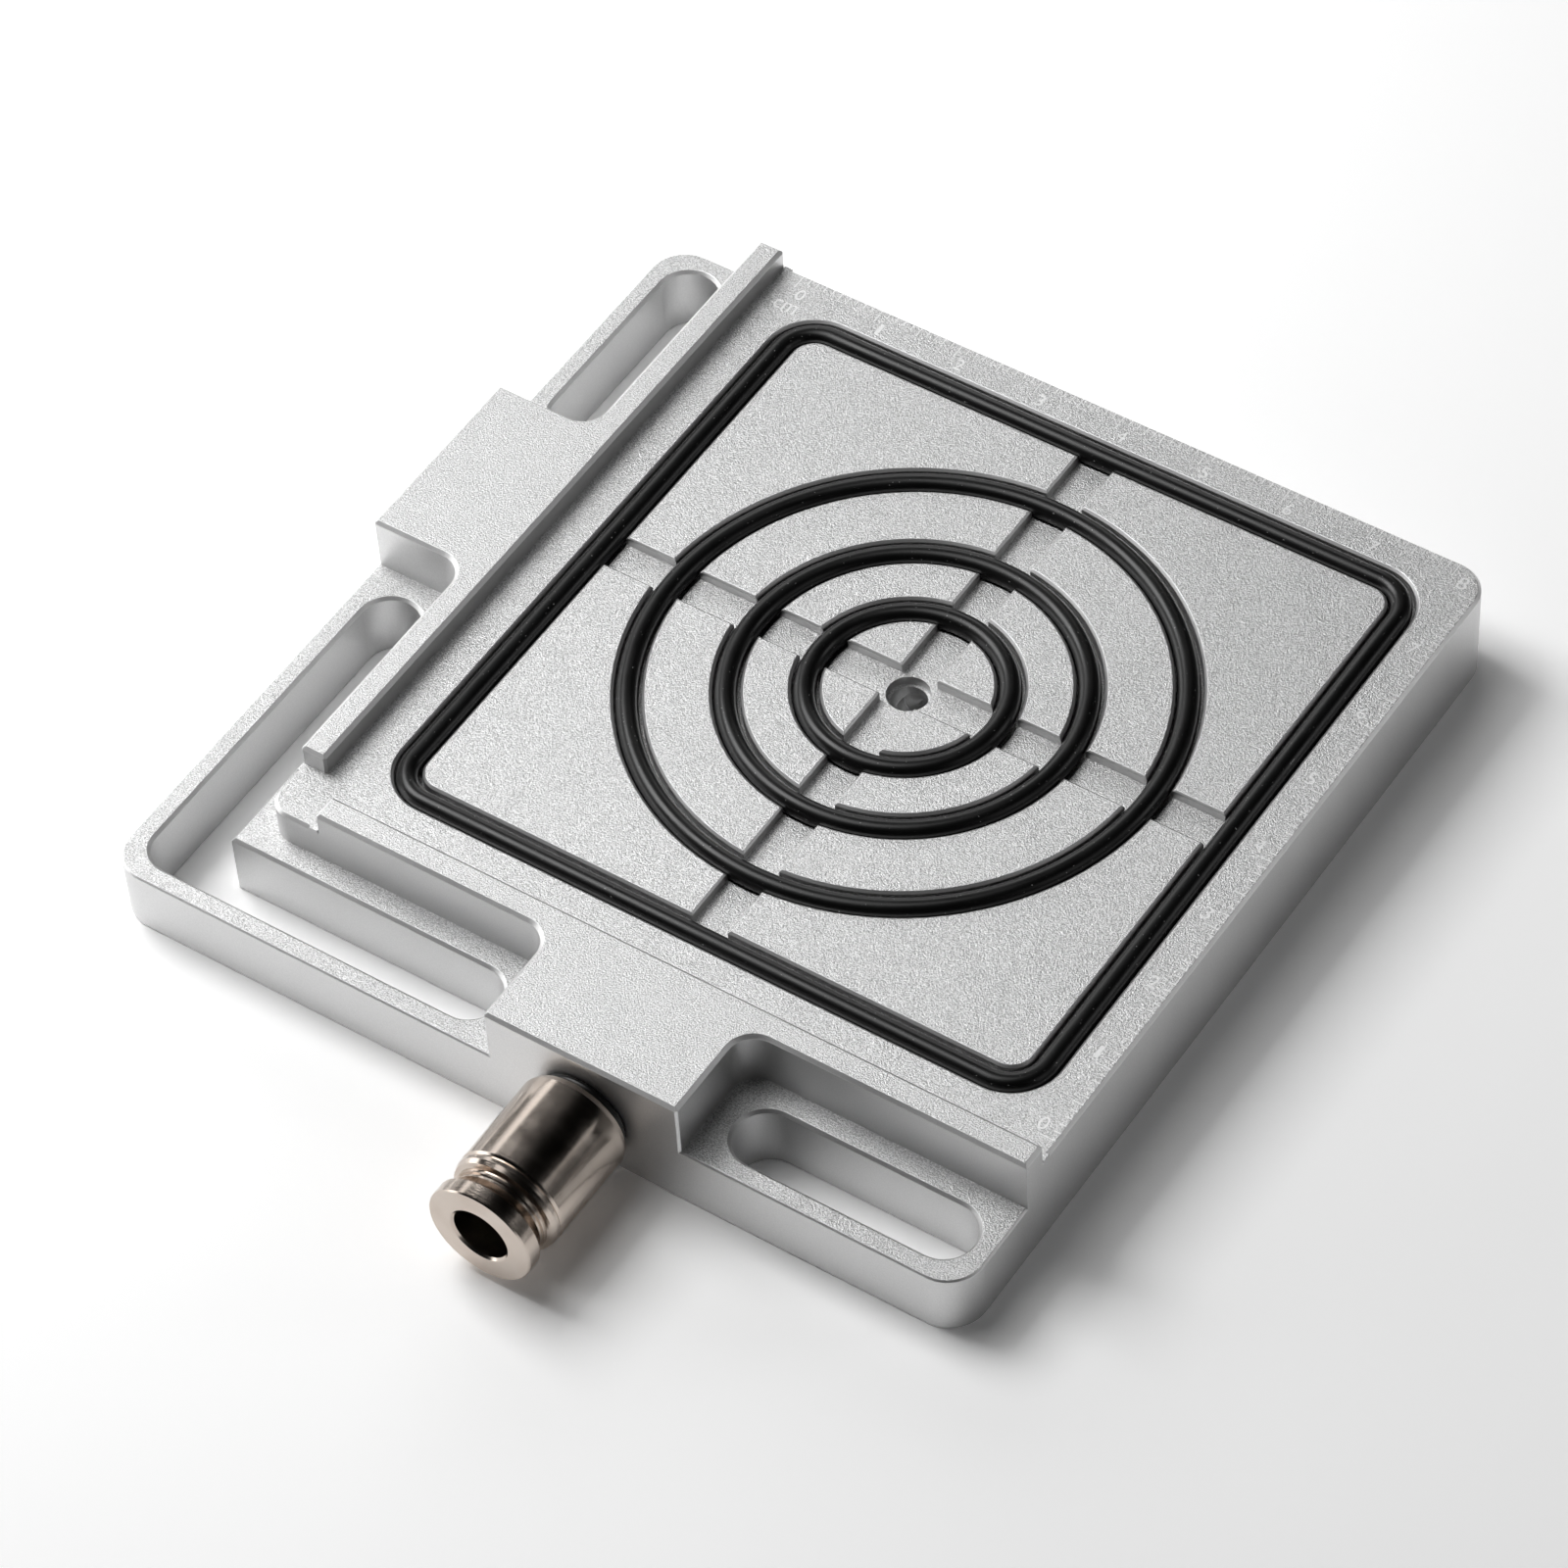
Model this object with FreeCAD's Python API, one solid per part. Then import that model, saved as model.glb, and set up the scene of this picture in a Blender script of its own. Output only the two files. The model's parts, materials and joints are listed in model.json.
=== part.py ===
import FreeCAD, Part
import math
import os

# Vacuum clamp pod, in millimetres. +Z is up and the underside lies at Z = 0.
# The origin is under the suction hole. +X runs right along the front edge, +Y runs to the back,
# and the hose fitting points to -Y. The plate is the same about its diagonal X = Y, so what
# stands along the front edge is made once and mirrored to the left edge.

# Plate outline and levels
far_reach = 43.15
near_reach = 58.1
plate_corner_r = 4.0
flange_top = 7.7
platform_top = 11.8
fence_top = 14.3
edge_break = 0.2

# Platform and the fences on its left and front edges
platform_wall = 46.4
platform_corner_r = 2.5
platform_chamfer = 0.35
fence_width = 3.0
fence_start = 39.9
fence_chamfer = 0.4
fence_end_chamfer = 0.25
chamfer_stop = 1.0

# Raised blocks in the middle of the two near edges
block_half = 11.3
block_chamfer = 0.25
pocket_r = 2.8

# Clamping slots through the flange
slot_width = 6.7
slot_rim = 2.3
slot_start = 14.05
slot_end_rim = 2.2
slot_chamfer = 0.35
corner_slot_r = 3.2

# Seal cords and their grooves
cord_d = 2.4
groove_width = 2.9
groove_depth = 1.8
groove_chamfer = 0.3
seal_wall_gap = 0.05
square_half = 37.3
square_corner_r = 4.1
ring_mean_d = {"large_ring_seal": 56.6, "middle_ring_seal": 36.7, "small_ring_seal": 20.8}

# Cross channel, suction hole and the cross drilling that feeds it
channel_width = 4.2
channel_depth = 1.2
channel_chamfer = 0.2
suction_d = 4.6
suction_step = 1.1
drill_d = 3.9
drill_past_axis = 2.0
drill_point_deg = 118.0
port_z = 6.7
port_depth = 9.5

# Hose fitting: stations along its axis are distances out from the block's front face
thread_r = 4.565
thread_clearance = 0.02
thread_length = 6.5
thread_lead = 0.5
undercut_r = 4.1
undercut_length = 0.8
thread_seal_cord = 1.0
hex_across_flats = 4.0
pilot_r = 1.5
barrel_r = 6.0
barrel_round = 0.9
barrel_length = 12.8
line_groove_from_end = 1.4
line_groove_width = 0.25
line_groove_depth = 0.2
barrel_end_r = 5.95
barrel_end_round = 0.7
tube_stop = 3.2
tube_r = 3.0
tube_seat_clearance = 0.1
tube_pass_clearance = 0.05
cavity_start = 6.4
cavity_r = 4.9
seat_clearance = 0.02

# Parts of the push-in mechanism
tube_seal_gap = 0.05
backup_thickness = 0.85
backup_lip = 0.1
backup_dish = 0.2
backup_bore_clearance = 0.2
claw_thickness = 0.3
claw_rim = 0.43
claw_lean = 0.6
claw_slots = 8
claw_slot_width = 0.5
guide_flange_r = 5.2
guide_flange_thickness = 0.8
guide_nose_r = 5.0
guide_nose_length = 0.4
guide_step = 2.6
sleeve_clearance = 0.07
sleeve_r = 3.85
sleeve_lip_r = 4.3
sleeve_lip_length = 0.85
sleeve_nose_length = 1.1
sleeve_nose_wall = 0.4
sleeve_stop_gap = 0.05
sleeve_travel = 0.8
sleeve_flange_r = 5.9
sleeve_flange_thickness = 2.0
sleeve_flange_round = 0.3
sleeve_face_chamfer = 0.15
sleeve_mouth_chamfer = 0.25
travel_margin = 0.2

# Overlap of tools and joined blanks past the faces that they cut or meet
overrun = 1.0

# Two places nearer than this are taken as one
same_place = 1e-6

vec = FreeCAD.Vector
origin = vec(0, 0, 0)
up = vec(0, 0, 1)


def wire_of(corners):
    """Closed outline in the XY plane from (x, y, corner radius), with arcs where a radius is given."""
    starts, ends, mids = [], [], []
    for i, (x, y, r) in enumerate(corners):
        here = vec(x, y, 0)
        before = vec(*corners[i - 1][:2], 0) - here
        after = vec(*corners[(i + 1) % len(corners)][:2], 0) - here
        before.normalize()
        after.normalize()
        half = before.getAngle(after) / 2
        back = r / math.tan(half)
        starts.append(here + before * back)
        ends.append(here + after * back)
        to_centre = before + after
        to_centre.normalize()
        mids.append(here + to_centre * (r / math.sin(half) - r))
    edges = []
    for i in range(len(corners)):
        if corners[i][2] > 0:
            edges.append(Part.Arc(starts[i], mids[i], ends[i]).toShape())
        following = starts[(i + 1) % len(corners)]
        if ends[i].distanceToPoint(following) > same_place:
            edges.append(Part.LineSegment(ends[i], following).toShape())
    return Part.Wire(edges)


def prism(corners, z_low, z_high):
    face = Part.Face(wire_of(corners))
    face.translate(up * z_low)
    return face.extrude(up * (z_high - z_low))


def box(x_low, x_high, y_low, y_high, z_low, z_high):
    return Part.makeBox(x_high - x_low, y_high - y_low, z_high - z_low, vec(x_low, y_low, z_low))


def mirrored(shape):
    """The left edge's copy of what stands on the front edge."""
    return shape.mirror(origin, vec(1, -1, 0))


def edges_at(shape, z):
    def height_off(edge):
        return max(abs(edge.BoundBox.ZMin - z), abs(edge.BoundBox.ZMax - z))
    return [edge for edge in shape.Edges if height_off(edge) < same_place]


def upright_edges(shape, x, y):
    found = []
    for edge in shape.Edges:
        b = edge.BoundBox
        off = max(abs(b.XMin - x), abs(b.XMax - x), abs(b.YMin - y), abs(b.YMax - y))
        if off < same_place and b.ZLength > overrun:
            found.append(edge)
    return found


def section_face(points):
    """Closed face in the XZ plane from (x, z) points."""
    ring = [vec(x, 0, z) for x, z in points]
    return Part.Face(Part.makePolygon(ring + ring[:1]))


def turned(points):
    """Solid of revolution about the fitting's axis, from (radius, distance out from the block)."""
    solid = section_face(points).revolve(origin, up, 360)
    return on_fitting_axis(solid)


def on_fitting_axis(solid):
    solid.rotate(origin, vec(1, 0, 0), 90)
    solid.translate(vec(0, -near_reach, port_z))
    return solid


def drill_tip(radius):
    return radius / math.tan(math.radians(drill_point_deg / 2))


# Base plate

def slot_band():
    """Near and far sides of the slots, as distances from the suction hole."""
    outside = near_reach - slot_rim
    return outside - slot_width, outside


def front_slot():
    near, far = slot_band()
    end = far_reach - slot_end_rim
    r = slot_width / 2
    corners = [(slot_start, -far, r), (end, -far, r), (end, -near, r), (slot_start, -near, r)]
    return prism(corners, -overrun, flange_top + overrun)


def corner_slot():
    """The opening that runs down the left flange, round the corner and along the front flange."""
    near, far = slot_band()
    r = slot_width / 2
    corners = [
        (-far, -far, corner_slot_r),
        (-slot_start, -far, r),
        (-slot_start, -near, r),
        (-near, -near, 0),
        (-near, -slot_start, r),
        (-far, -slot_start, r),
    ]
    return prism(corners, -overrun, flange_top + overrun)


def flange_plate():
    low, high, r = -near_reach, far_reach, plate_corner_r
    corners = [(low, low, r), (high, low, r), (high, high, r), (low, high, r)]
    plate = prism(corners, 0, flange_top)
    rim = edges_at(plate, flange_top) + edges_at(plate, 0)
    plate = plate.makeChamfer(edge_break, rim)
    inset = edges_at(plate, flange_top)
    outline = [e.CenterOfMass for e in inset]
    slot = front_slot()
    plate = plate.cut(slot).cut(mirrored(slot)).cut(corner_slot())
    slot_edges = []
    for edge in edges_at(plate, flange_top):
        if min(edge.CenterOfMass.distanceToPoint(p) for p in outline) > edge_break:
            slot_edges.append(edge)
    return plate.makeChamfer(slot_chamfer, slot_edges)


def platform():
    low, high = -platform_wall, far_reach
    corners = [
        (low, low, platform_corner_r),
        (high, low, 0),
        (high, high, plate_corner_r),
        (low, high, 0),
    ]
    solid = prism(corners, flange_top - overrun, platform_top)
    return solid.makeChamfer(platform_chamfer, edges_at(solid, platform_top))


def front_raised():
    """Front fence and block in one, with the round pocket corners between them."""
    wall = -platform_wall
    inner = wall + fence_width
    corners = [
        (-fence_start, inner, 0),
        (-fence_start, wall, 0),
        (-block_half, wall, pocket_r),
        (-block_half, -near_reach, 0),
        (block_half, -near_reach, 0),
        (block_half, wall, pocket_r),
        (far_reach, wall, 0),
        (far_reach, inner, 0),
    ]
    solid = prism(corners, flange_top - overrun, fence_top)
    solid = solid.makeChamfer(fence_chamfer, edges_at(solid, fence_top))
    ends = upright_edges(solid, -fence_start, inner) + upright_edges(solid, -fence_start, wall)
    ends += upright_edges(solid, far_reach, inner)
    solid = solid.makeChamfer(fence_end_chamfer, ends)
    outer = upright_edges(solid, -block_half, -near_reach) + upright_edges(solid, block_half, -near_reach)
    return solid.makeChamfer(block_chamfer, outer)


def chamfer_stops():
    """The square ends that the platform's chamfer leaves beside each end of the front fence."""
    c = platform_chamfer
    wall = -platform_wall
    inner = wall + fence_width
    low = platform_top - c
    left = box(-fence_start - chamfer_stop, -fence_start, wall, wall + c, low, platform_top)
    right = box(far_reach - c, far_reach, inner, inner + chamfer_stop, low, platform_top)
    return left.fuse(right)


def channel_section(x, width, depth, chamfer):
    """Section of a cut into the platform's top, centred at x, with chamfered rims."""
    low, high = x - width / 2, x + width / 2
    floor = platform_top - depth
    rim = platform_top - chamfer
    top = platform_top + overrun
    return section_face([
        (low, floor), (high, floor), (high, rim), (high + chamfer, platform_top),
        (high + chamfer, top), (low - chamfer, top), (low - chamfer, platform_top), (low, rim),
    ])


def groove_section(x):
    return channel_section(x, groove_width, groove_depth, groove_chamfer)


def cord_section(x):
    centre = vec(x, 0, platform_top - groove_depth + cord_d / 2)
    circle = Part.makeCircle(cord_d / 2, centre, vec(0, 1, 0))
    return Part.Face(Part.Wire([circle]))


def round_loop(section, mean_d):
    return section(mean_d / 2).revolve(origin, up, 360)


def square_loop(section):
    """One section carried round the rounded square: four straight runs and four quarter turns."""
    straight = square_half - square_corner_r
    side = section(square_half)
    side.translate(vec(0, -straight, 0))
    side = side.extrude(vec(0, 2 * straight, 0))
    corner = section(square_corner_r).revolve(origin, up, 90)
    corner.translate(vec(straight, straight, 0))
    quarter = side.fuse(corner)
    loop = quarter
    for turn in (90, 180, 270):
        copy = quarter.copy()
        copy.rotate(origin, up, turn)
        loop = loop.fuse(copy)
    return loop.removeSplitter()


def cross_channel():
    arm = channel_section(0, channel_width, channel_depth, channel_chamfer)
    arm.translate(vec(0, -square_half, 0))
    arm = arm.extrude(vec(0, 2 * square_half, 0))
    return arm.fuse(mirrored(arm))


def suction_hole():
    r = suction_d / 2
    s = drill_d / 2
    step = platform_top - channel_depth - suction_step
    bottom = port_z - s
    return section_face([
        (0, bottom - drill_tip(s)), (s, bottom), (s, step), (r, step),
        (r, platform_top + overrun), (0, platform_top + overrun),
    ]).revolve(origin, up, 360)


def cross_drilling():
    tapped = thread_r + thread_clearance
    s = drill_d / 2
    end = -(near_reach + drill_past_axis)
    points = [(0, end - drill_tip(s)), (s, end), (s, -port_depth - drill_tip(tapped) + drill_tip(s))]
    points += [(tapped, -port_depth), (tapped, overrun), (0, overrun)]
    return turned(points)


def base_plate():
    front = front_raised().fuse(chamfer_stops())
    solid = flange_plate().fuse([platform(), front, mirrored(front)])
    tools = [square_loop(groove_section), cross_channel(), suction_hole(), cross_drilling()]
    tools += [round_loop(groove_section, d) for d in ring_mean_d.values()]
    return solid.cut(tools).removeSplitter()


# Hose fitting, from the plate outwards

barrel_start = thread_seal_cord
barrel_end = barrel_start + barrel_length


def thread_seal():
    cord = thread_seal_cord / 2
    return on_fitting_axis(Part.makeTorus(undercut_r + cord, cord, vec(0, 0, cord)))


def fitting_body():
    """Barrel and thread. Two flats stand for each round edge, meeting where the round's middle is."""
    bend = 1 - math.cos(math.pi / 4)
    seat_r = tube_r + tube_seat_clearance
    line = barrel_end - line_groove_from_end
    edge = barrel_end - barrel_end_round
    solid = turned([
        (pilot_r, -thread_length),
        (thread_r - thread_lead, -thread_length),
        (thread_r, -thread_length + thread_lead),
        (thread_r, -undercut_length),
        (undercut_r, -undercut_length),
        (undercut_r, barrel_start),
        (barrel_r - barrel_round, barrel_start),
        (barrel_r - bend * barrel_round, barrel_start + bend * barrel_round),
        (barrel_r, barrel_start + barrel_round),
        (barrel_r, line - line_groove_width),
        (barrel_r - line_groove_depth, line),
        (barrel_end_r, line + line_groove_width),
        (barrel_end_r, edge),
        (barrel_end_r - bend * barrel_end_round, barrel_end - bend * barrel_end_round),
        (barrel_end_r - barrel_end_round, barrel_end),
        (cavity_r, barrel_end),
        (cavity_r, cavity_start),
        (seat_r, cavity_start),
        (seat_r, tube_stop),
        (pilot_r, tube_stop),
    ])
    return solid.cut(hex_socket())


def hex_socket():
    sides = 6
    corner_r = hex_across_flats / 2 / math.cos(math.pi / sides)
    angles = [2 * math.pi * k / sides for k in range(sides)]
    corners = [(corner_r * math.cos(a), corner_r * math.sin(a), 0) for a in angles]
    return on_fitting_axis(prism(corners, -thread_length - overrun, tube_stop + overrun))


def tube_seal_radii():
    inner = tube_r + tube_pass_clearance
    outer = cavity_r - tube_seal_gap
    return inner, outer


def tube_seal_end():
    inner, outer = tube_seal_radii()
    return cavity_start + outer - inner + tube_seal_gap


def tube_seal():
    inner, outer = tube_seal_radii()
    cord = (outer - inner) / 2
    return on_fitting_axis(Part.makeTorus(inner + cord, cord, vec(0, 0, cavity_start + cord)))


def backup_end():
    return tube_seal_end() + backup_thickness


def backup_ring():
    outer = cavity_r - seat_clearance
    inner = tube_r + backup_bore_clearance
    start = tube_seal_end()
    rim = outer - claw_rim
    return turned([
        (inner, start),
        (outer, start),
        (outer, backup_end()),
        (rim, backup_end()),
        (inner + backup_bore_clearance, start + backup_dish),
        (inner, start + backup_lip),
    ])


def claw_end():
    return backup_end() + claw_thickness


def grip_claw():
    """Spring ring whose teeth lean inwards, so that the tube slides in but can't pull out."""
    outer = cavity_r - seat_clearance
    rim = outer - claw_rim
    tip = tube_r + tube_pass_clearance
    low = backup_end()
    ring = turned([
        (tip, low - claw_lean), (rim, low), (outer, low),
        (outer, claw_end()), (rim, claw_end()), (tip, claw_end() - claw_lean),
    ])
    side = claw_slot_width / 2
    blade = box(0, rim, -side, side, low - claw_lean - overrun, claw_end() + overrun)
    for k in range(claw_slots):
        cut = blade.copy()
        cut.rotate(origin, up, 360 * k / claw_slots)
        ring = ring.cut(on_fitting_axis(cut))
    return ring


def guide_ring():
    outer = cavity_r - seat_clearance
    wide = outer - claw_rim
    narrow = sleeve_r + sleeve_clearance
    step = claw_end() + guide_step
    return turned([
        (wide, claw_end()),
        (outer, claw_end()),
        (outer, barrel_end),
        (guide_flange_r, barrel_end),
        (guide_flange_r, guide_end() - guide_nose_length),
        (guide_nose_r, guide_end() - guide_nose_length),
        (guide_nose_r, guide_end()),
        (narrow, guide_end()),
        (narrow, step),
        (wide, step),
    ])


def guide_end():
    return barrel_end + guide_flange_thickness


def release_sleeve():
    bore = tube_r + tube_seat_clearance
    lip_end = claw_end() + guide_step - sleeve_stop_gap
    lip_start = lip_end - sleeve_lip_length
    nose = lip_start - sleeve_nose_length
    back = guide_end() + sleeve_travel + travel_margin
    face = back + sleeve_flange_thickness
    return turned([
        (bore, nose),
        (bore + sleeve_nose_wall, nose),
        (sleeve_lip_r, lip_start),
        (sleeve_lip_r, lip_end),
        (sleeve_r, lip_end),
        (sleeve_r, back),
        (sleeve_flange_r - sleeve_flange_round, back),
        (sleeve_flange_r, back + sleeve_flange_round),
        (sleeve_flange_r, face - sleeve_face_chamfer),
        (sleeve_flange_r - sleeve_face_chamfer, face),
        (bore + sleeve_mouth_chamfer, face),
        (bore, face - sleeve_mouth_chamfer),
    ])


def plate_seals():
    """The four cords. Each is loose in its groove and lies toward the groove's front wall."""
    lie = (groove_width - cord_d) / 2 - seal_wall_gap
    cords = {"square_seal": square_loop(cord_section)}
    for name, mean_d in ring_mean_d.items():
        cords[name] = round_loop(cord_section, mean_d)
    for cord in cords.values():
        cord.translate(vec(0, -lie, 0))
    return cords


def build():
    pieces = {"base_plate": base_plate()}
    pieces.update(plate_seals())
    pieces["thread_seal"] = thread_seal()
    pieces["fitting_body"] = fitting_body()
    pieces["tube_seal"] = tube_seal()
    pieces["backup_ring"] = backup_ring()
    pieces["grip_claw"] = grip_claw()
    pieces["guide_ring"] = guide_ring()
    pieces["release_sleeve"] = release_sleeve()
    return pieces


os.makedirs("parts", exist_ok=True)
for node, shape in build().items():
    solid = shape.Solids[0] if len(shape.Solids) == 1 else shape
    print(node, "solids", len(shape.Solids), "valid", shape.isValid(), "volume %.1f" % shape.Volume)
    solid.exportStep("parts/" + node + ".step")
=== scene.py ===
import json
import math

import bmesh
import bpy
from mathutils import Matrix, Vector


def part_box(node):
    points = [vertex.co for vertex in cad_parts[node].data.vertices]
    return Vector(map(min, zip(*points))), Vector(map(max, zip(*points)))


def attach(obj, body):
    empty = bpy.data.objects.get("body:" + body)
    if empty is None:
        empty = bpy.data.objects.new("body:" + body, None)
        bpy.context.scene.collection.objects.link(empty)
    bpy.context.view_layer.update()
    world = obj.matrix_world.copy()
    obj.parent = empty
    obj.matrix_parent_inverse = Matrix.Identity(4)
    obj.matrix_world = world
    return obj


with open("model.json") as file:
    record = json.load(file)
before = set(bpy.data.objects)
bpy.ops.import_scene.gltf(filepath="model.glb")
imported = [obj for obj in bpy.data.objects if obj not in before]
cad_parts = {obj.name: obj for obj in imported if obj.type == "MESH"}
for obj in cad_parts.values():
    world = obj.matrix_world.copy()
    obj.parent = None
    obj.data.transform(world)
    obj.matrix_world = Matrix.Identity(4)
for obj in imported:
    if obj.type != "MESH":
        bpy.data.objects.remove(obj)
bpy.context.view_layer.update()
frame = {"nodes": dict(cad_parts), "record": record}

# Looks of the vacuum clamp pod. Blender works in metres, so lengths in millimetres carry mm.
mm = 0.001

# Camera, by its turn round the pod, its height above the table and where it aims. Blender counts
# the lens and the sensor in millimetres.
camera_azimuth = math.radians(36.631)
camera_elevation = math.radians(49.710)
camera_roll = math.radians(-4.135)
camera_lens = 146.19
camera_sensor = 36.0
camera_distance = 649.07 * mm
camera_aim_left = 13.04 * mm
camera_aim_down = 2.23 * mm
camera_clip_start = 10 * mm

# Table, which looks whiter to the camera and in mirrors than it lights the pod
table_size = 3.0
table_drop = 0.05 * mm
table_grey = 0.93
table_seen_grey = 1.42
table_roughness = 0.9

# Softboxes: turn counted from +X and height in degrees, width and height in metres, power in watts
lamp_reach = 0.5
lamps = {
    "key_left": ((180, 52), (0.24, 0.24), 1.24),
    "top_left": ((180, 75), (0.22, 0.22), 0.34),
    "fill_left": ((210, 65), (0.22, 0.22), 0.17),
    "low_left": ((193, 10), (0.60, 0.18), 0.80),
    "low_back_left": ((131, 25), (0.46, 0.22), 0.49),
    "low_right": ((0, 30), (0.22, 0.22), 0.08),
    "glint_right": ((34, 21), (0.14, 0.17), 0.11),
}

# Pale band round the horizon
horizon_strength = 0.1
horizon_depth = 0.25

# Nearly all values of a noise lie in the first range, and most of them in the second
noise_range = (0.3, 0.7)
noise_middle = (0.35, 0.65)

# Bead-blasted plate. How level a face is runs from 0 for an upright wall to 1 for a top face.
pebble_size = 0.17 * mm
pebble_depth = 0.11 * mm
pebble_crumble = 0.7
pebble_contrast = 2.3
pebbles_on_walls = 0.12
smudge_size = 16 * mm
smudge_tones = (0.5, 0.56)
plate_dark, plate_mean, plate_light = 0.36, 0.62, 0.94
plate_roughness = (0.39, 0.47)
blasted_levels = (0.9, 0.98)
chamfer_first_levels = (0.3, 0.5)
chamfer_last_levels = (0.85, 0.97)
# Chamfers get a lighter colour: a painted highlight for the light their edges catch
chamfer_painted_highlight = 0.3
chamfer_roughness = 0.04
edge_wear = 0.15 * mm
edge_samples = 6

# Nickel-plated fitting
nickel_dark = (0.54, 0.465, 0.405)
nickel_mean = (0.57, 0.50, 0.44)
nickel_light = (0.60, 0.53, 0.47)
feed_pitch = 0.12 * mm
feed_depth = 0.004 * mm
feed_roughness = (0.0, 0.05)
haze_size = 2.5 * mm
haze_roughness = (0.12, 0.18)

# Rubber cords
rubber_grey = 0.003
rubber_specular = 0.43
rubber_roughness = (0.28, 0.35)
rubber_patch_size = 4 * mm
skin_size = 0.25 * mm
skin_depth = 0.006 * mm
dust_size = 0.2 * mm
dust_grey = 0.4
dust_levels = (0.82, 0.85)
dust_cover = 0.8

# Spring steel of the claw
steel_dark, steel_mean, steel_light = 0.5, 0.6, 0.68
steel_roughness = (0.22, 0.38)
steel_mottle_size = 0.4 * mm
steel_mottle_depth = 0.004 * mm

# Acetal of the backup ring
acetal_dark = (0.82, 0.82, 0.80)
acetal_light = (0.88, 0.88, 0.86)
acetal_mean = 0.85
acetal_roughness = (0.35, 0.5)
acetal_grain_size = 0.3 * mm
acetal_grain_depth = 0.006 * mm

# Ruler marks' surface
marking_dark, marking_mean, marking_light = 0.92, 0.96, 1.0
marking_metallic = 0.8
marking_roughness = (0.5, 0.7)
marking_grain_size = 0.16 * mm
marking_grain_depth = 0.02 * mm

# Rulers on the clamping face. "Aside" runs along a ruler from the tick, "in" runs in from the edge.
ruler_zero = -40.8 * mm
ruler_cm = 8
ticks_per_cm = 10
tick_pitch = 1.0 * mm
tick_from_edge = 0.35 * mm
tick_width = 0.13 * mm
tick_short = 0.7 * mm
tick_half = 1.2 * mm
tick_long = 1.7 * mm
tick_end_points = 4
mark_thickness = 0.012 * mm
digit_height = 1.6 * mm
digit_width = 1.0 * mm
digit_one_width = 0.45 * mm
digit_bend_steps = 3
back_digit_aside = 1.2 * mm
back_digit_in = 2.75 * mm
right_digit_aside = 1.25 * mm
right_digit_in = 2.4 * mm
corner_digit_width = 1.1 * mm
corner_digit_height = 1.7 * mm
corner_digit_in = 2.45 * mm
unit_width = 2.7 * mm
unit_height = 1.3 * mm
unit_place = (-40.1 * mm, 38.2 * mm)

# The clamping face lies as far below the cords' tops as they stand out of it
seal_proud = 0.6 * mm
plate_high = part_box("base_plate")[1]
platform_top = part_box("square_seal")[1].z - seal_proud


# Node helpers

class Nodes:
    """Short ways to add nodes to a node tree."""

    def __init__(self, tree):
        self.tree = tree

    def add(self, kind, **settings):
        made = self.tree.nodes.new("ShaderNode" + kind)
        for key, value in settings.items():
            setattr(made, key, value)
        return made

    def join(self, source, target):
        self.tree.links.new(source, target)

    def math(self, operation, a, b=None):
        made = self.add("Math", operation=operation)
        for socket, value in zip(made.inputs, (a, b)):
            if isinstance(value, bpy.types.NodeSocket):
                self.join(value, socket)
            elif value is not None:
                socket.default_value = value
        return made.outputs[0]


class Paint(Nodes):
    """A material with one Principled shader."""

    def __init__(self, name, colour, metallic, roughness, specular=0.5):
        self.material = bpy.data.materials.new(name)
        self.material.use_nodes = True
        super().__init__(self.material.node_tree)
        self.shader = self.tree.nodes["Principled BSDF"]
        self.shader.inputs["Base Color"].default_value = (*colour, 1)
        self.shader.inputs["Metallic"].default_value = metallic
        self.shader.inputs["Roughness"].default_value = roughness
        self.shader.inputs["Specular IOR Level"].default_value = specular
        self.place = self.add("TexCoord").outputs["Object"]

    def span(self, value, source, target):
        """value mapped from the source range to the target range, and held there beyond them."""
        made = self.add("MapRange")
        self.join(value, made.inputs["Value"])
        for key, number in zip(("From Min", "From Max", "To Min", "To Max"), (*source, *target)):
            made.inputs[key].default_value = number
        return made.outputs["Result"]

    def noise(self, size, detail=2.0, place=None, roughness=0.5):
        """Noise from 0 to 1 whose lumps are about size across, in metres."""
        made = self.add("TexNoise")
        self.join(place or self.place, made.inputs["Vector"])
        made.inputs["Scale"].default_value = 1 / size
        made.inputs["Detail"].default_value = detail
        made.inputs["Roughness"].default_value = roughness
        return made.outputs["Fac"]

    def tint(self, value, dark, light):
        """Colour between dark at 0 and light at 1."""
        made = self.add("Mix", data_type="RGBA")
        self.join(value, made.inputs["Factor"])
        made.inputs["A"].default_value = (*dark, 1)
        made.inputs["B"].default_value = (*light, 1)
        colour = next(s for s in made.outputs if s.type == "RGBA")
        self.join(colour, self.shader.inputs["Base Color"])

    def roughen(self, value):
        self.join(value, self.shader.inputs["Roughness"])

    def bump(self, height, depth, edge_round=None):
        """Bumps as deep as depth. With edge_round, edges are shaded as if worn round by it."""
        made = self.add("Bump")
        made.inputs["Distance"].default_value = depth
        self.join(height, made.inputs["Height"])
        if edge_round:
            bevel = self.add("Bevel", samples=edge_samples)
            bevel.inputs["Radius"].default_value = edge_round
            self.join(bevel.outputs["Normal"], made.inputs["Normal"])
        self.join(made.outputs["Normal"], self.shader.inputs["Normal"])


def grey(value):
    return (value, value, value)


# Materials

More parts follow.
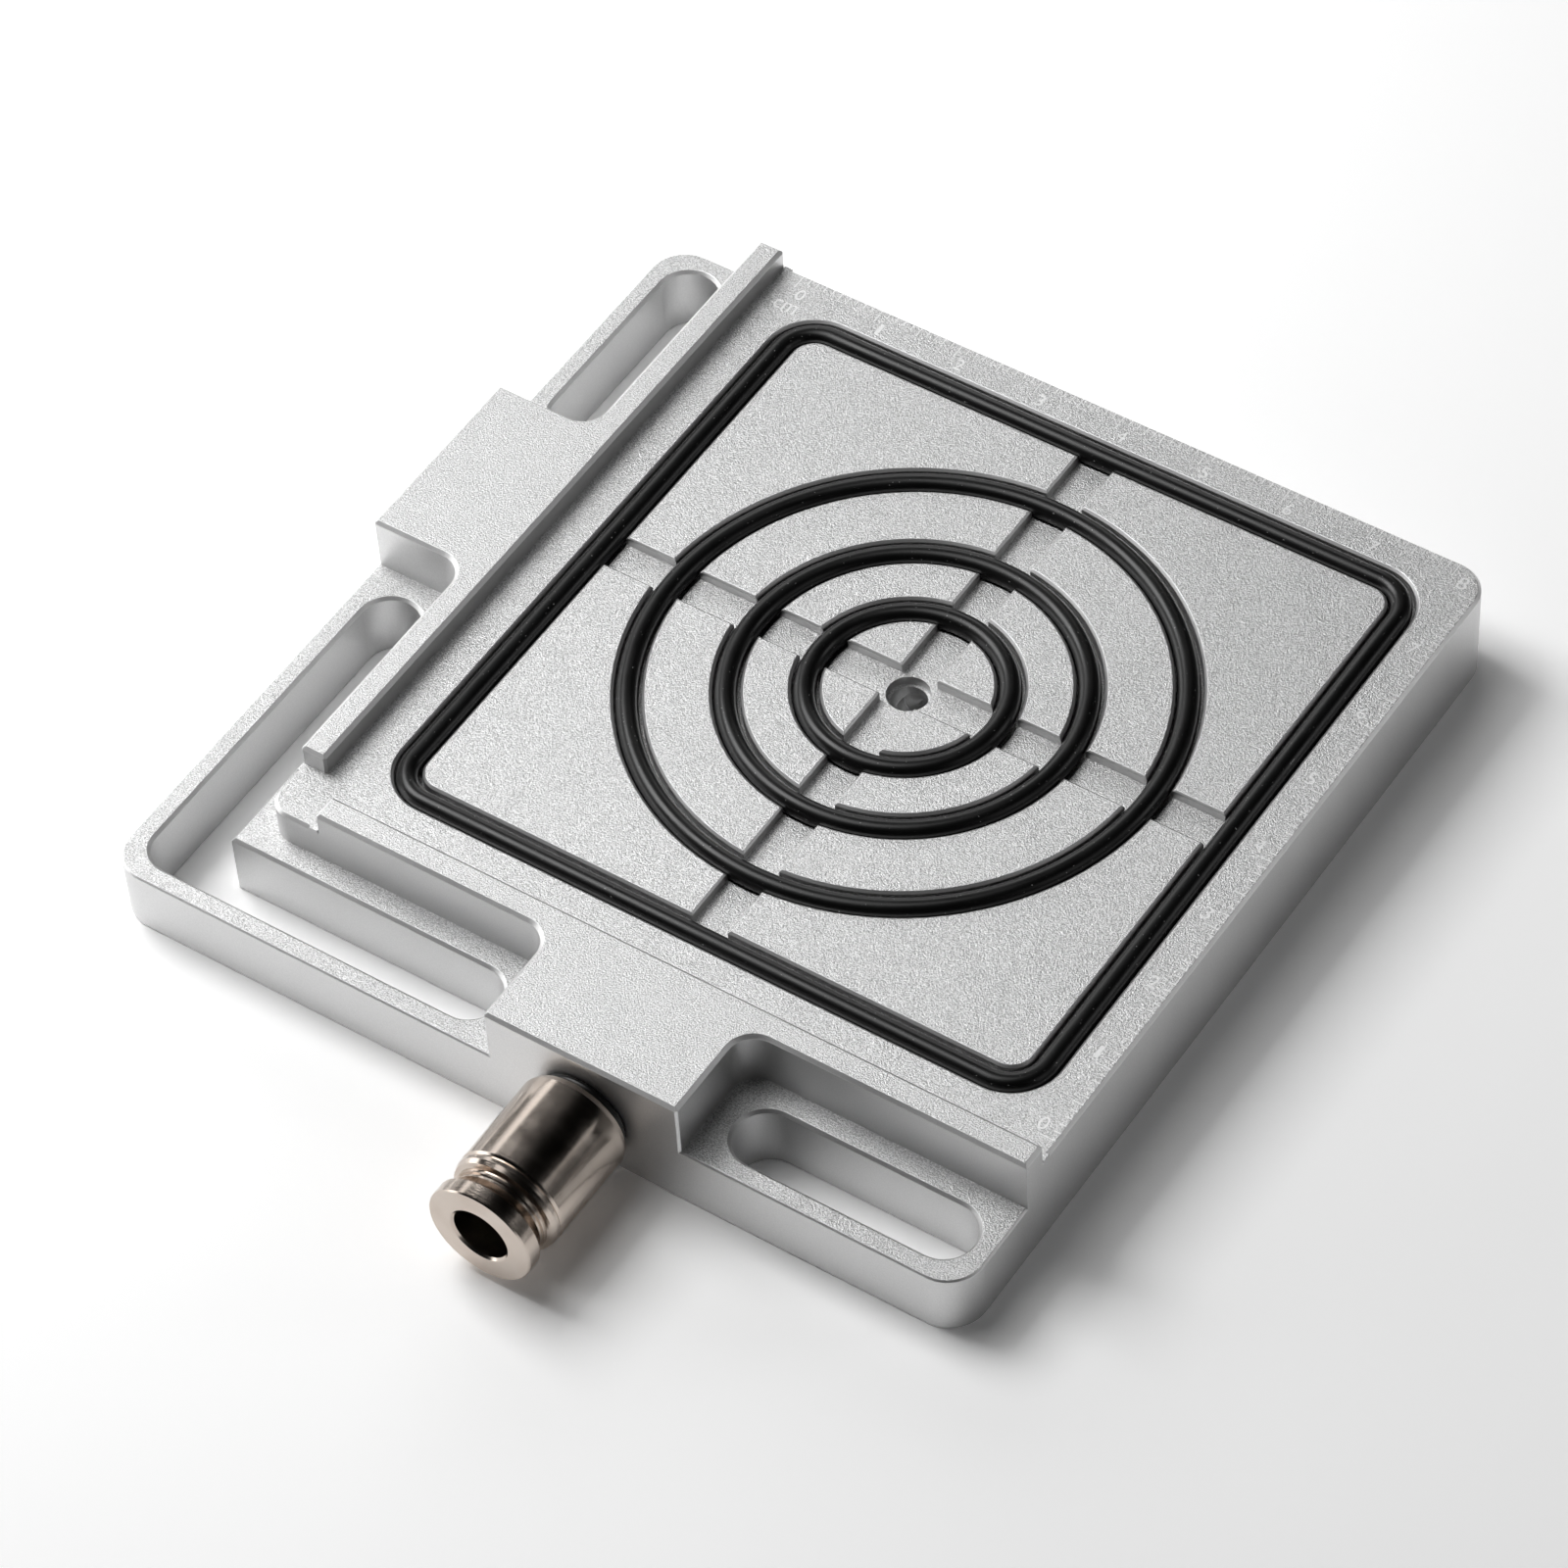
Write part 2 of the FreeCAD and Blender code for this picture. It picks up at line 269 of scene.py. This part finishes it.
def blasted_aluminium():
    """Clear-anodised plate: bead-blasted pebbles on level faces, satin walls, and chamfers painted
    lighter as a painted highlight.
    """
    paint = Paint("anodised_plate", grey(plate_mean), metallic=1.0, roughness=0.4)
    facing = paint.add("SeparateXYZ")
    paint.join(paint.add("NewGeometry").outputs["Normal"], facing.inputs[0])
    level = paint.math("ABSOLUTE", facing.outputs["Z"])
    chamfer = paint.math(
        "MULTIPLY",
        paint.span(level, chamfer_first_levels, (0, 1)),
        paint.span(level, chamfer_last_levels, (1, 0)),
    )
    blasted = paint.span(level, blasted_levels, (pebbles_on_walls, 1))
    pebbles = paint.noise(pebble_size, detail=2, roughness=pebble_crumble)
    relief = paint.math("MULTIPLY", paint.math("SUBTRACT", pebbles, 0.5), blasted)
    paint.bump(relief, pebble_depth, edge_wear)
    smudges = paint.noise(smudge_size, detail=3)
    tone = paint.math(
        "ADD",
        paint.math("MULTIPLY", relief, pebble_contrast),
        paint.span(smudges, noise_range, smudge_tones),
    )
    # Painted highlight: the chamfer mask lightens the chamfers' colour
    tone = paint.math("ADD", tone, paint.math("MULTIPLY", chamfer, chamfer_painted_highlight))
    paint.tint(tone, grey(plate_dark), grey(plate_light))
    satin = paint.span(smudges, noise_range, plate_roughness)
    paint.roughen(paint.math("ADD", satin, paint.math("MULTIPLY", chamfer, chamfer_roughness)))
    return paint.material


def turned_coordinates(paint, axis_height):
    """Coordinates that change only along the fitting's axis and with the radius, as on a lathe."""
    split = paint.add("SeparateXYZ")
    paint.join(paint.place, split.inputs[0])
    height = paint.math("SUBTRACT", split.outputs["Z"], axis_height)
    across = paint.math("POWER", split.outputs["X"], 2)
    radius = paint.math("SQRT", paint.math("ADD", across, paint.math("POWER", height, 2)))
    made = paint.add("CombineXYZ")
    paint.join(split.outputs["Y"], made.inputs["X"])
    paint.join(radius, made.inputs["Y"])
    return made.outputs[0]


def nickel_plate(axis_height):
    """Bright nickel over turned brass, a little warm, with faint feed marks and handling haze."""
    paint = Paint("nickel_plated_brass", nickel_mean, metallic=1.0, roughness=0.16)
    feed = paint.noise(feed_pitch, detail=2, place=turned_coordinates(paint, axis_height))
    haze = paint.noise(haze_size, detail=4)
    paint.tint(paint.span(haze, noise_range, (0, 1)), nickel_dark, nickel_light)
    dulled = paint.span(haze, noise_range, haze_roughness)
    paint.roughen(paint.math("ADD", dulled, paint.span(feed, noise_range, feed_roughness)))
    paint.bump(feed, feed_depth)
    return paint.material


def black_rubber():
    """Moulded nitrile cord: deep black, satin, with a fine skin and a few specks of dust."""
    paint = Paint(
        "black_rubber", grey(rubber_grey), metallic=0.0, roughness=0.3, specular=rubber_specular
    )
    patches = paint.noise(rubber_patch_size, detail=3)
    dust = paint.span(paint.noise(dust_size, detail=0), dust_levels, (0, dust_cover))
    paint.tint(dust, grey(rubber_grey), grey(dust_grey))
    paint.roughen(paint.span(patches, noise_range, rubber_roughness))
    paint.bump(paint.noise(skin_size, detail=4), skin_depth)
    return paint.material


def spring_steel():
    """Bright strip steel, faintly mottled."""
    paint = Paint("spring_steel", grey(steel_mean), metallic=1.0, roughness=0.3)
    mottle = paint.noise(steel_mottle_size, detail=4)
    paint.tint(mottle, grey(steel_dark), grey(steel_light))
    paint.roughen(paint.span(mottle, noise_range, steel_roughness))
    paint.bump(mottle, steel_mottle_depth)
    return paint.material


def white_acetal():
    """Moulded acetal with a fine grain."""
    paint = Paint("white_acetal", grey(acetal_mean), metallic=0.0, roughness=0.4)
    grain = paint.noise(acetal_grain_size, detail=3)
    paint.tint(grain, acetal_dark, acetal_light)
    paint.roughen(paint.span(grain, noise_range, acetal_roughness))
    paint.bump(grain, acetal_grain_depth)
    return paint.material


def laser_marking():
    """Ruler marks burnt through the anodising: paler than the plate and slightly broken up."""
    paint = Paint("laser_marking", grey(marking_mean), metallic=marking_metallic, roughness=0.5)
    grain = paint.noise(marking_grain_size, detail=3)
    paint.tint(paint.span(grain, noise_middle, (0, 1)), grey(marking_dark), grey(marking_light))
    paint.roughen(paint.span(grain, noise_middle, marking_roughness))
    paint.bump(grain, marking_grain_depth)
    return paint.material


def dress_nodes():
    """Each CAD node gets the material that its record names."""
    axis_height = sum(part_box("fitting_body"), Vector()).z / 2
    paints = {
        "anodised_plate": blasted_aluminium(),
        "black_rubber": black_rubber(),
        "nickel_plated_brass": nickel_plate(axis_height),
        "spring_steel": spring_steel(),
        "white_acetal": white_acetal(),
    }
    for part in frame["record"]["subparts"]:
        for slot in frame["nodes"][part["node"]].material_slots:
            slot.material = paints[part["material_slot"]]


# Rulers

def add_mesh(name, bm, material):
    mesh = bpy.data.meshes.new(name)
    bm.to_mesh(mesh)
    bm.free()
    mesh.materials.append(material)
    piece = bpy.data.objects.new(name, mesh)
    bpy.context.scene.collection.objects.link(piece)
    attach(piece, "pod")


def stroke_outline(start, end, width):
    """Round-ended bar from start to end, as points in the plane."""
    along = (end - start).normalized()
    aside = Vector((-along.y, along.x))
    points = []
    for centre, first in ((end, -math.pi / 2), (start, math.pi / 2)):
        for k in range(tick_end_points + 1):
            a = first + math.pi * k / tick_end_points
            points.append(centre + (along * math.cos(a) + aside * math.sin(a)) * width / 2)
    return points


def add_slab(bm, outline):
    """Thin slab of marked surface that stands on the platform's top."""
    low = [bm.verts.new((p.x, p.y, platform_top)) for p in outline]
    high = [bm.verts.new((p.x, p.y, platform_top + mark_thickness)) for p in outline]
    bm.faces.new(high)
    for i in range(len(outline)):
        j = (i + 1) % len(outline)
        bm.faces.new((low[i], low[j], high[j], high[i]))


def tick_length(k):
    if k % ticks_per_cm == 0:
        return tick_long
    return tick_half if k % (ticks_per_cm // 2) == 0 else tick_short


def ruler_ticks(place):
    """Ticks of one ruler. place turns distances along it and in from the edge into x and y."""
    bm = bmesh.new()
    for k in range(ruler_cm * ticks_per_cm + 1):
        along = ruler_zero + k * tick_pitch
        start = place(along, tick_from_edge)
        end = place(along, tick_from_edge + tick_length(k))
        add_slab(bm, stroke_outline(Vector(start), Vector(end), tick_width))
    return bm


def lettering(name, text, width, height, centre, material):
    """Text flat on the platform in Blender's own plain font, fitted to width and height."""
    curve = bpy.data.curves.new(name + "_text", "FONT")
    curve.body = text
    curve.extrude = mark_thickness / 2
    curve.resolution_u = digit_bend_steps
    source = bpy.data.objects.new(name + "_text", curve)
    bpy.context.scene.collection.objects.link(source)
    bpy.context.view_layer.update()
    drawn = source.evaluated_get(bpy.context.evaluated_depsgraph_get())
    mesh = bpy.data.meshes.new_from_object(drawn)
    bpy.data.objects.remove(source)
    low = [min(v.co[i] for v in mesh.vertices) for i in range(3)]
    high = [max(v.co[i] for v in mesh.vertices) for i in range(3)]
    bm = bmesh.new()
    bm.from_mesh(mesh)
    bpy.data.meshes.remove(mesh)
    for v in bm.verts:
        v.co.x = centre[0] + ((v.co.x - low[0]) / (high[0] - low[0]) - 0.5) * width
        v.co.y = centre[1] + ((v.co.y - low[1]) / (high[1] - low[1]) - 0.5) * height
        v.co.z = platform_top + (v.co.z - low[2])
    add_mesh(name, bm, material)


def rulers():
    """One ruler along the back edge and one along the right edge, which share the corner digit."""
    material = laser_marking()
    right, back = plate_high.x, plate_high.y
    back_ticks = ruler_ticks(lambda along, inward: (along, back - inward))
    add_mesh("back_ruler_ticks", back_ticks, material)
    right_ticks = ruler_ticks(lambda along, inward: (right - inward, along))
    add_mesh("right_ruler_ticks", right_ticks, material)
    for k in range(ruler_cm):
        tick = ruler_zero + k * ticks_per_cm * tick_pitch
        width = digit_one_width if k == 1 else digit_width
        at_back = (tick + back_digit_aside, back - back_digit_in)
        at_right = (right - right_digit_in, tick + right_digit_aside)
        lettering(f"back_digit_{k}", str(k), width, digit_height, at_back, material)
        lettering(f"right_digit_{k}", str(k), width, digit_height, at_right, material)
    corner = (right - corner_digit_in, back - corner_digit_in)
    width, height = corner_digit_width, corner_digit_height
    lettering("corner_digit", str(ruler_cm), width, height, corner, material)
    lettering("unit_mark", "cm", unit_width, unit_height, unit_place, material)


# Studio

def make_camera():
    flat = math.cos(camera_elevation)
    back = Vector((
        math.sin(camera_azimuth) * flat,
        -math.cos(camera_azimuth) * flat,
        math.sin(camera_elevation),
    ))
    right = Vector((math.cos(camera_azimuth), math.sin(camera_azimuth), 0))
    up = back.cross(right)
    roll = Matrix.Rotation(camera_roll, 3, back)
    right, up = roll @ right, roll @ up
    data = bpy.data.cameras.new("camera")
    data.lens = camera_lens
    data.sensor_width = camera_sensor
    data.clip_start = camera_clip_start
    camera = bpy.data.objects.new("camera", data)
    camera.location = back * camera_distance - right * camera_aim_left - up * camera_aim_down
    camera.rotation_euler = Matrix((right, up, back)).transposed().to_euler()
    bpy.context.scene.collection.objects.link(camera)
    bpy.context.scene.camera = camera


def table():
    half = table_size / 2
    corners = [(x * half, y * half, -table_drop) for x, y in ((-1, -1), (1, -1), (1, 1), (-1, 1))]
    mesh = bpy.data.meshes.new("table")
    mesh.from_pydata(corners, [], [(0, 1, 2, 3)])
    paint = Paint(
        "table_top", grey(table_grey), metallic=0.0, roughness=table_roughness, specular=0.0
    )
    ray = paint.add("LightPath").outputs
    seen = paint.math("MAXIMUM", ray["Is Camera Ray"], ray["Is Glossy Ray"])
    seen = paint.math("MAXIMUM", seen, ray["Is Transmission Ray"])
    paint.tint(seen, grey(table_grey), grey(table_seen_grey))
    mesh.materials.append(paint.material)
    floor = bpy.data.objects.new("table", mesh)
    bpy.context.scene.collection.objects.link(floor)


def around(azimuth, elevation):
    """Direction from its turn round the pod, counted from +X, and its height, both in degrees."""
    turn, height = math.radians(azimuth), math.radians(elevation)
    flat = math.cos(height)
    return Vector((math.cos(turn) * flat, math.sin(turn) * flat, math.sin(height)))


def soft_lamp(name, direction, size, power):
    """Softbox that faces the pod from that direction."""
    data = bpy.data.lights.new(name, "AREA")
    data.shape = "RECTANGLE"
    data.size, data.size_y = size
    data.energy = power
    lamp = bpy.data.objects.new(name, data)
    lamp.location = direction * lamp_reach
    lamp.rotation_euler = direction.to_track_quat("Z", "Y").to_euler()
    bpy.context.scene.collection.objects.link(lamp)


def horizon():
    """White light from all round that fades quickly above and below the horizon."""
    world = bpy.data.worlds.new("studio")
    bpy.context.scene.world = world
    world.use_nodes = True
    sky = Nodes(world.node_tree)
    split = sky.add("SeparateXYZ")
    sky.join(sky.add("TexCoord").outputs["Generated"], split.inputs[0])
    squared = sky.math("POWER", split.outputs["Z"], 2)
    faded = sky.math("EXPONENT", sky.math("MULTIPLY", squared, -horizon_depth ** -2))
    background = sky.tree.nodes["Background"].inputs
    background["Color"].default_value = (*grey(1), 1)
    sky.join(sky.math("MULTIPLY", faded, horizon_strength), background["Strength"])


dress_nodes()
rulers()
table()
for lamp_name, (lamp_direction, lamp_size, lamp_power) in lamps.items():
    soft_lamp(lamp_name, around(*lamp_direction), lamp_size, lamp_power)
horizon()
make_camera()
bpy.context.scene.view_settings.view_transform = "Standard"
